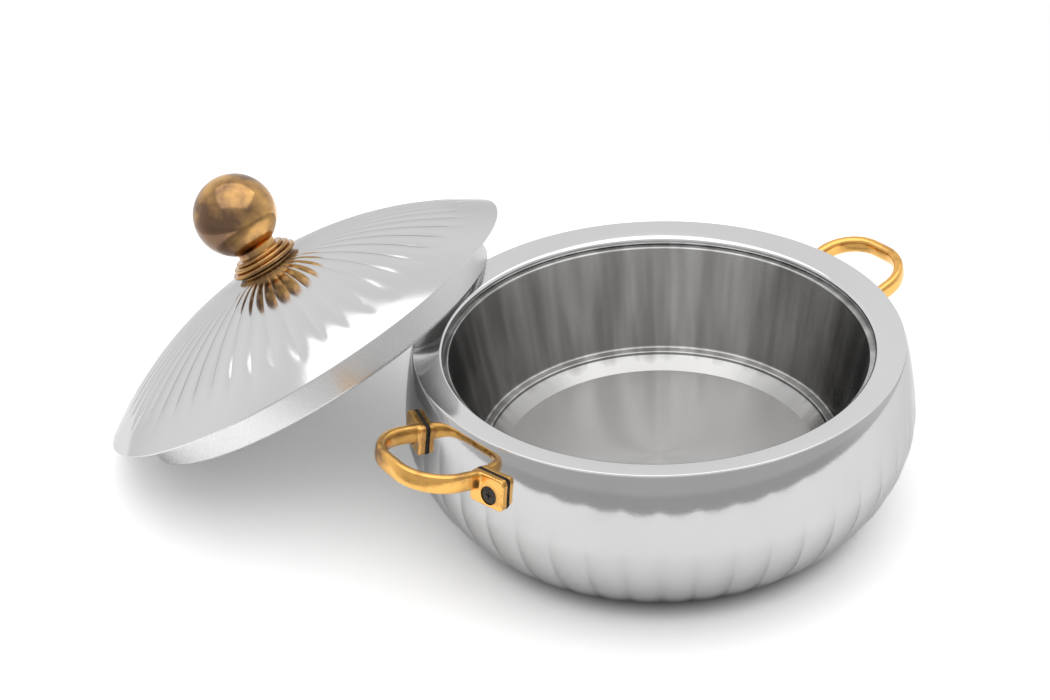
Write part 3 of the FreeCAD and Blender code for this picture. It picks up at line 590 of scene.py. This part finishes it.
handleValues = {
    "root": 0.127, "height": 0.0777, "rise": 14.0, "legSide": 0.0250, "barOut": 0.0317, "corner": 0.0205,
    "legSteps": 10, "cornerSteps": 25, "barShares": (0.6, 0.3),
    "halfThickness": 0.0028, "halfHeight": 0.0046, "flare": 1.35, "flareLength": 0.009,
    "plateWidth": 0.020, "plateHeight": 0.016, "plateThickness": 0.0032, "plateCorner": 0.0024,
    "plateInsets": (0.0, 0.5, 0.8, 1.0), "plateAzimuth": 13.8, "plateLevel": 0.074, "plateLean": 9.0,
    "padThickness": 0.0008, "padGap": 0.00003, "wallSearch": (-0.004, 0.002),
    "voxel": 0.0004, "smoothSteps": 10, "screwHole": 0.0047, "screwHoleDepth": 0.0017, "drillReach": 0.004,
}
screwValues = {
    "shift": 0.0014, "drop": 0.002, "headRadius": 0.0045, "headDepth": 0.0019, "headEdge": 0.0005,
    "crown": 0.00025, "crownTurn": 1.2, "crownLevel": 0.4, "crownSweep": pi / 2.1, "crownSteps": 9,
    "sink": 0.0004, "shank": 0.002, "length": 0.0105, "columns": 48,
    "slotWidth": 0.0006, "slotDepth": 0.0005, "slotLength": 0.0034,
}


def plateMatrix(side, values):
    # x is square to the wall, y along it and z up it; the origin is on the pad
    reach = bellyRadiusAt(values["plateLevel"], potValues) + values["padThickness"]
    turn = turnAbout("Z", side * values["plateAzimuth"])
    return turn @ Matrix.Translation((reach, 0, values["plateLevel"])) @ turnAbout("Y", -values["plateLean"])


def plateMesh(side, values):
    # a rounded plate whose back follows the wall
    place = plateMatrix(side, values)
    half, tall, corner = values["plateWidth"] / 2, values["plateHeight"] / 2, values["plateCorner"]
    corners = [(half, tall, corner), (-half, tall, corner), (-half, -tall, corner), (half, -tall, corner)]
    rim = [Vector((0, *point)) for point in roundCorners(corners, steps=6)]
    insets, face = values["plateInsets"], Vector((values["plateThickness"], 0, 0))
    rings = [[place @ (point * (1 - inset) + face) for point in rim] for inset in insets[::-1]]
    rings += [[seatOnWall(place, point * (1 - inset), values) for point in rim] for inset in insets]
    points = [point for ring in rings for point in ring]
    return outwards(meshFrom("plate", points, bandFaces(len(rings), len(rim))))


def seatOnWall(place, point, values):
    # slides a point along the plate's x axis until it lies on the pad
    low, high = values["wallSearch"]
    for _ in range(30):
        middle = (low + high) / 2
        spot = place @ (point + Vector((middle, 0, 0)))
        wall = bellyRadiusAt(spot.z, potValues) + values["padThickness"] + values["padGap"]
        if sqrt(spot.x ** 2 + spot.y ** 2) < wall:
            low = middle
        else:
            high = middle
    return place @ (point + Vector((high, 0, 0)))


def strapPath(values):
    side, out, corner = values["legSide"], values["barOut"], values["corner"]
    legEnd, barSide = out - corner, side - corner
    half = [(legEnd * step / values["legSteps"], side) for step in range(values["legSteps"])]
    half += [(legEnd + corner * sin(turn), barSide + corner * cos(turn))
             for turn in np.linspace(0, pi / 2, values["cornerSteps"])]
    half += [(out, barSide * share) for share in values["barShares"]]
    points = [(x, y, 0) for x, y in half] + [(out, 0, 0)] + [(x, -y, 0) for x, y in half[::-1]]
    mesh = bpy.data.meshes.new("strapPath")
    mesh.from_pydata(points, [(step, step + 1) for step in range(len(points) - 1)], [])
    return mesh


def strapMesh(values):
    piece = addObject("strapPath", strapPath(values))
    runTree(piece, strapTree, {
        "Half Thickness": values["halfThickness"], "Half Height": values["halfHeight"],
        "Flare": values["flare"], "Flare Length": values["flareLength"], "Finish": materials["handleBrass"],
    })
    mesh = outwards(piece.data)
    bpy.data.objects.remove(piece)
    root = Matrix.Translation((values["root"], 0, values["height"]))
    mesh.transform(root @ turnAbout("Y", -values["rise"]))
    return mesh


def joinMeshes(name, meshes):
    work = bmesh.new()
    for mesh in meshes:
        work.from_mesh(mesh)
    joined = bpy.data.meshes.new(name)
    work.to_mesh(joined)
    work.free()
    return joined


def screwMatrix(side, values, screw):
    shift = Matrix.Translation((0, side * screw["shift"], -screw["drop"]))
    return plateMatrix(side, values) @ shift @ turnAbout("Y", 90)


def drillMesh(side, values, screw):
    radius, face = values["screwHole"], values["plateThickness"]
    floor, above = face - values["screwHoleDepth"], face + values["drillReach"]
    mesh = turnedMesh("drill", [(0.0, floor), (radius, floor), (radius, above), (0.0, above)], columns=64)
    mesh.transform(screwMatrix(side, values, screw))
    return mesh


def makeHandles(values, screw):
    plates = [plateMesh(side, values) for side in (1, -1)]
    piece = addObject("handleRight", joinMeshes("handleRight", [strapMesh(values), *plates]))
    remesh = piece.modifiers.new("cast", "REMESH")
    remesh.mode = "VOXEL"
    remesh.voxel_size = values["voxel"]
    smooth = piece.modifiers.new("soften", "SMOOTH")
    smooth.iterations = values["smoothSteps"]
    bakeMesh(piece)
    drills = [drillMesh(side, values, screw) for side in (1, -1)]
    drill = addObject("drill", joinMeshes("drill", drills))
    cutter = piece.modifiers.new("holes", "BOOLEAN")
    cutter.operation = "DIFFERENCE"
    cutter.object = drill
    bakeMesh(piece)
    bpy.data.objects.remove(drill)
    left = addObject("handleLeft", piece.data.copy())
    left.data.transform(turnAbout("Z", 180))
    for handle, node in ((piece, "handle_right"), (left, "handle_left")):
        smoothFaces(handle.data, 40)
        finishPiece(handle, "pot", [node], materials["handleBrass"])


def screwMesh(values, plateThickness):
    top, foot = plateThickness - values["sink"], plateThickness - values["length"]
    head, shank, crown = values["headRadius"], values["shank"], values["crown"]
    dome = [(head * sin(turn), top + crown * (cos(turn * values["crownTurn"]) - values["crownLevel"]))
            for turn in np.linspace(0, values["crownSweep"], values["crownSteps"])]
    outline = [*dome, (head, top - values["headEdge"]), (shank, top - values["headDepth"]),
               (shank, foot), (0.0, foot)]
    return turnedMesh("screw", outline, values["columns"])


def slotBars(values, top):
    # two crossed bars that cut the drive into a screw's head
    bars = []
    for turn in (0, 90):
        work = bmesh.new()
        bmesh.ops.create_cube(work, size=1.0)
        bar = bpy.data.meshes.new("bar")
        work.to_mesh(bar)
        work.free()
        size = (values["slotLength"], values["slotWidth"], 2 * values["slotDepth"], 1)
        bar.transform(Matrix.Diagonal(size))
        bar.transform(Matrix.Translation((0, 0, top)) @ turnAbout("Z", turn))
        bars.append(bar)
    return joinMeshes("bars", bars)


def makeScrews(values, handle):
    part = addObject("screwPart", screwMesh(values, handle["plateThickness"]))
    bars = addObject("slotBars", slotBars(values, handle["plateThickness"] - values["sink"]))
    cutter = part.modifiers.new("slot", "BOOLEAN")
    cutter.operation = "DIFFERENCE"
    cutter.use_self = True
    cutter.object = bars
    bakeMesh(part)
    bpy.data.objects.remove(bars)
    smoothFaces(part.data, 30)
    places, turns = [], []
    for handleTurn in (0, 180):
        for side in (1, -1):
            place = turnAbout("Z", handleTurn) @ screwMatrix(side, handle, values)
            places.append(place.to_translation())
            turns += list(place.to_euler())
    points = bpy.data.meshes.new("screws")
    points.from_pydata(places, [], [])
    points.attributes.new("turn", "FLOAT_VECTOR", "POINT").data.foreach_set("vector", turns)
    piece = bpy.data.objects.new("screws", points)
    bpy.context.scene.collection.objects.link(piece)
    runTree(piece, copiesTree, {"Part": part, "Finish": materials["darkScrew"]})
    bpy.data.objects.remove(part)
    return finishPiece(piece, "pot", ["screws_right", "screws_left"])


makeHandles(handleValues, screwValues)
makeScrews(screwValues, handleValues)
print("stage: handles")


# Lid and knob, made about their own axis and then leaned on the pot

lidValues = {
    "radius": 0.1224, "rise": 0.0382, "plugHeight": 0.0192, "sheet": 0.0009,
    "lobes": 48, "lobePhase": 4.7, "lobeDepth": 0.0011, "creasePower": 2.4, "creaseAngle": 14,
    "lobeFirst": 0.019, "lobeRise": 0.014, "lobeLast": 0.114, "lobeFall": 0.022,
    "columnsPerLobe": 12, "rows": 110, "underRows": 14, "seatRadius": 0.020, "boreRadius": 0.00305,
    "plugRadius": 0.1056, "edgeWidth": 0.005, "recess": 0.0033, "edgeInset": 0.0004, "edgeRound": 0.0006,
    "lean": 29.3, "leanAzimuth": 122.8, "tableGap": 0.0001, "restGap": 0.0003, "columns": 384,
}
knobValues = {
    "ballRadius": 0.0224, "ballHeight": 0.0692, "ballRows": 100, "footRadius": 0.015, "footHeight": 0.0009,
    "ringRadii": (0.019, 0.0169, 0.0143), "ringHeights": (0.0034, 0.0026, 0.002),
    "bevel": 0.0022, "bevelTop": 0.0002, "bevelShare": 0.42,     # below the lowest ring's bead
    "beadShare": 0.5, "lowBeadShare": 0.29, "beadDepth": 0.7,
    "beadFrom": -75, "lowBeadFrom": -8, "beadTo": 76, "beadStep": 15,     # degrees
    "neckRadius": 0.0108, "grooveDepth": 0.0007, "columns": 192,
}


def lidPlace(lid, pot):
    # where the lid rests: its rim on the pot's rim and its lower edge on the table
    lean = radians(lid["lean"])
    level = lid["plugRadius"] * sin(lean) + lid["tableGap"]
    drop = (pot["rimHeight"] - level) * cos(lean)
    reach = pot["rimRadius"] + (drop - lid["recess"] + lid["restGap"]) / sin(lean)
    edge = Matrix.Translation((reach, 0, level))
    return turnAbout("Z", lid["leanAzimuth"]) @ edge @ turnAbout("Y", lid["lean"])


def capCentre(lid):
    reach = (lid["radius"] ** 2 + lid["rise"] ** 2) / (2 * lid["rise"])
    return reach, lid["plugHeight"] + lid["rise"] - reach


def seatHeight(lid):
    reach, centre = capCentre(lid)
    return centre + sqrt(reach ** 2 - lid["seatRadius"] ** 2)


def makeLidDome(lid):
    reach, centre = capCentre(lid)
    inner = reach - lid["sheet"] - lid["lobeDepth"]
    edge = asin(lid["radius"] / reach)
    seat = asin(lid["seatRadius"] / reach)
    outer = [(reach * sin(turn), centre + reach * cos(turn)) for turn in np.linspace(edge, seat, lid["rows"])]
    bore, innerEdge = asin(lid["boreRadius"] / inner), acos((lid["plugHeight"] - centre) / inner)
    under = [(inner * sin(turn), centre + inner * cos(turn))
             for turn in np.linspace(bore, innerEdge, lid["underRows"])]
    top = [(lid["boreRadius"], seatHeight(lid))]
    more = {"Centre": centre, "Over Radius": 1.0}
    piece = flutedPiece("lidDome", outer + top + under, lid, "lidSteel", more)
    return leanPiece(piece, ["lid_dome"])


def leanPiece(piece, replaced, material=None):
    piece.data.transform(lidPlace(lidValues, potValues))
    return finishPiece(piece, "lid", replaced, material)


def makeLidPan(lid):
    plug, top, sheet, recess = lid["plugRadius"], lid["plugHeight"], lid["sheet"], lid["recess"]
    inner, flange, small = plug - lid["edgeWidth"], lid["radius"] - lid["edgeInset"], lid["edgeRound"]
    outline = [(0.0, recess, 0), (inner, recess, 2 * small), (inner, 0.0, 2 * small),
               (plug, 0.0, 2.5 * small), (plug, top - sheet, small), (flange, top - sheet, 0),
               (flange, top, 0), (plug - sheet, top, 0), (plug - sheet, sheet, 0),
               (inner + sheet, sheet, 0), (inner + sheet, recess + sheet, 0), (0.0, recess + sheet, 0)]
    mesh = turnedMesh("lidPan", roundCorners(outline), lid["columns"])
    piece = addObject("lidPan", mesh, sharpAngle=40)
    return leanPiece(piece, ["lid_pan"], materials["panSteel"])


def knobRings(knob, foot):
    # rounded rings that grow smaller upwards, with a groove above each
    outline, height = [], foot
    for step, (radius, tall) in enumerate(zip(knob["ringRadii"], knob["ringHeights"])):
        share, start = knob["beadShare"], knob["beadFrom"]
        if step == 0:
            share, start = knob["lowBeadShare"], knob["lowBeadFrom"]
            outline += [(radius - knob["bevel"], height),
                        (radius - knob["bevelTop"], height + tall * knob["bevelShare"])]
        bead = tall * share
        middle = height + tall - bead
        for angle in range(start, knob["beadTo"], knob["beadStep"]):
            turn = radians(angle)
            outline.append((radius - bead * knob["beadDepth"] * (1 - cos(turn)), middle + bead * sin(turn)))
        height += tall
        outline.append((radius - bead * knob["beadDepth"] - knob["grooveDepth"], height))
    return outline, height


def makeKnob(lid, knob):
    seat, bore, neck, size = seatHeight(lid), lid["boreRadius"], knob["neckRadius"], knob["ballRadius"]
    foot = seat + knob["footHeight"]
    rings, height = knobRings(knob, foot)
    ball = lid["plugHeight"] + knob["ballHeight"]
    flat = ball - sqrt(size ** 2 - neck ** 2)
    outline = [(bore, seat), (knob["footRadius"], seat), (knob["footRadius"], foot), *rings,
               (neck, height), (neck, flat), (bore, flat)]
    collar = addObject("knobCollar", turnedMesh("knobCollar", outline, knob["columns"]), sharpAngle=35)
    leanPiece(collar, ["knob_collar"], materials["knobBrass"])
    arc = [(size * sin(turn), ball - size * cos(turn))
           for turn in np.linspace(asin(neck / size), pi, knob["ballRows"])]
    mesh = turnedMesh("knobBall", [(0.0, flat), *arc], knob["columns"])
    piece = addObject("knobBall", mesh, sharpAngle=35)
    leanPiece(piece, ["knob_ball"], materials["knobBrass"])


makeLidDome(lidValues)
makeLidPan(lidValues)
makeKnob(lidValues, knobValues)
print("stage: lid")


# Construction pieces that keep their own shape

keptNodes = {
    "base_plate": "baseSteel", "pads_right": "padRubber", "pads_left": "padRubber",
    "nuts_right": "zincSteel", "nuts_left": "zincSteel", "knob_stud": "zincSteel",
    "knob_washer": "zincSteel", "knob_nut": "zincSteel", "pot_insulation": "foam", "lid_insulation": "foam",
}
for node, finish in keptNodes.items():
    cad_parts[node].data.materials.clear()
    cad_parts[node].data.materials.append(materials[finish])
print("stage: kept nodes")


# Table and light

tableValues = {
    "radius": 0.44, "beyond": 0.08, "heading": 56.0, "columns": 180, "color": 0.95,
    "under": 0.10, "underFrom": 0.088, "underTo": 0.113,     # contact shade below the pot
    "lift": 0.03, "seenLift": 0.09,
}
roomValues = {
    "far": 0.92, "near": 0.62, "overhead": 0.82, "below": 0.52,     # as polished metal sees them
    "farHeading": 56.0, "belowEdge": (-0.19, -0.15), "sideEdge": (-0.5, 0.5), "overheadEdge": (0.35, 0.8),
    "matteLow": 0.5, "matteHigh": 1.12, "matteEdge": (0.2, 0.75),     # as matt surfaces see them
    "boxHeight": 1.15, "boxWidth": 1.93, "boxLength": 1.62, "boxForward": -0.05, "boxRadiance": 0.86,
}


def cameraRays(tree):
    rays = addNode(tree, "ShaderNodeLightPath").outputs
    seen = calc(tree, "MAXIMUM", rays["Is Camera Ray"], rays["Is Glossy Ray"])
    return calc(tree, "MAXIMUM", seen, rays["Is Transmission Ray"])


def makeTable(values):
    count, radius, heading = values["columns"], values["radius"], radians(values["heading"])
    middle = (values["beyond"] * cos(heading), values["beyond"] * sin(heading))
    turns = [2 * pi * step / count for step in range(count)]
    ring = [(middle[0] + radius * cos(turn), middle[1] + radius * sin(turn), 0.0) for turn in turns]
    table = addObject("table", meshFrom("table", ring, [tuple(range(count))]))
    material = bpy.data.materials.new("tableWhite")
    material.use_nodes = True
    tree = material.node_tree
    tree.nodes.remove(tree.nodes["Principled BSDF"])
    place = addNode(tree, "ShaderNodeTexCoord").outputs["Object"]
    reach = addNode(tree, "ShaderNodeVectorMath", {0: place}, operation="LENGTH").outputs["Value"]
    tone = softStep(tree, reach, values["underFrom"], values["underTo"], values["under"], values["color"])
    color = addNode(tree, "ShaderNodeCombineColor", {0: tone, 1: tone, 2: tone}).outputs[0]
    camera = addNode(tree, "ShaderNodeLightPath").outputs["Is Camera Ray"]
    lift = softStep(tree, camera, 0.0, 1.0, values["lift"], values["lift"] + values["seenLift"])
    lift = softStep(tree, reach, values["underFrom"], values["underTo"], 0.0, lift)
    matte = addNode(tree, "ShaderNodeBsdfDiffuse", {"Color": color}).outputs[0]
    glow = addNode(tree, "ShaderNodeEmission", {"Strength": lift}).outputs[0]
    lifted = addNode(tree, "ShaderNodeAddShader", {0: matte, 1: glow}).outputs[0]
    mixed = addNode(tree, "ShaderNodeMixShader", {0: cameraRays(tree), 1: matte, 2: lifted}).outputs[0]
    tree.links.new(mixed, tree.nodes["Material Output"].inputs["Surface"])
    table.data.materials.append(material)


def makeRoom(values):
    # bright behind and above the pot, dimmer on the near side and below the table's edge
    world = bpy.data.worlds.new("room")
    bpy.context.scene.world = world
    world.use_nodes = True
    tree = world.node_tree
    tree.nodes.remove(tree.nodes["Background"])
    way = addNode(tree, "ShaderNodeTexCoord").outputs["Generated"]
    heading = radians(values["farHeading"])
    ahead = addNode(tree, "ShaderNodeVectorMath", {0: way, 1: (cos(heading), sin(heading), 0)},
                    operation="DOT_PRODUCT").outputs["Value"]
    up = addNode(tree, "ShaderNodeSeparateXYZ", {0: way}).outputs[2]
    near = softStep(tree, up, *values["belowEdge"], values["below"], values["near"])
    side = softStep(tree, ahead, *values["sideEdge"], near, values["far"])
    level = softStep(tree, up, *values["overheadEdge"], side, values["overhead"])
    matte = softStep(tree, up, *values["matteEdge"], values["matteLow"], values["matteHigh"])
    level = softStep(tree, cameraRays(tree), 0.0, 1.0, matte, level)
    seen = addNode(tree, "ShaderNodeLightPath").outputs["Is Camera Ray"]
    level = calc(tree, "MULTIPLY_ADD", seen, calc(tree, "SUBTRACT", 1.0, level), level)
    glow = addNode(tree, "ShaderNodeBackground", {"Color": (1, 1, 1, 1), "Strength": level}).outputs[0]
    tree.links.new(glow, tree.nodes["World Output"].inputs["Surface"])


def makeSoftbox(values):
    data = bpy.data.lights.new("softbox", "AREA")
    data.shape = "RECTANGLE"
    data.size, data.size_y = values["boxWidth"], values["boxLength"]
    data.energy = values["boxRadiance"] * pi * data.size * data.size_y
    lamp = bpy.data.objects.new("softbox", data)
    heading, forward = radians(values["farHeading"]), values["boxForward"]
    place = (forward * cos(heading), forward * sin(heading), values["boxHeight"])
    lamp.matrix_world = Matrix.Translation(place) @ turnAbout("Z", values["farHeading"] - 90)
    bpy.context.scene.collection.objects.link(lamp)


makeTable(tableValues)
makeRoom(roomValues)
makeSoftbox(roomValues)
print("stage: table and light")
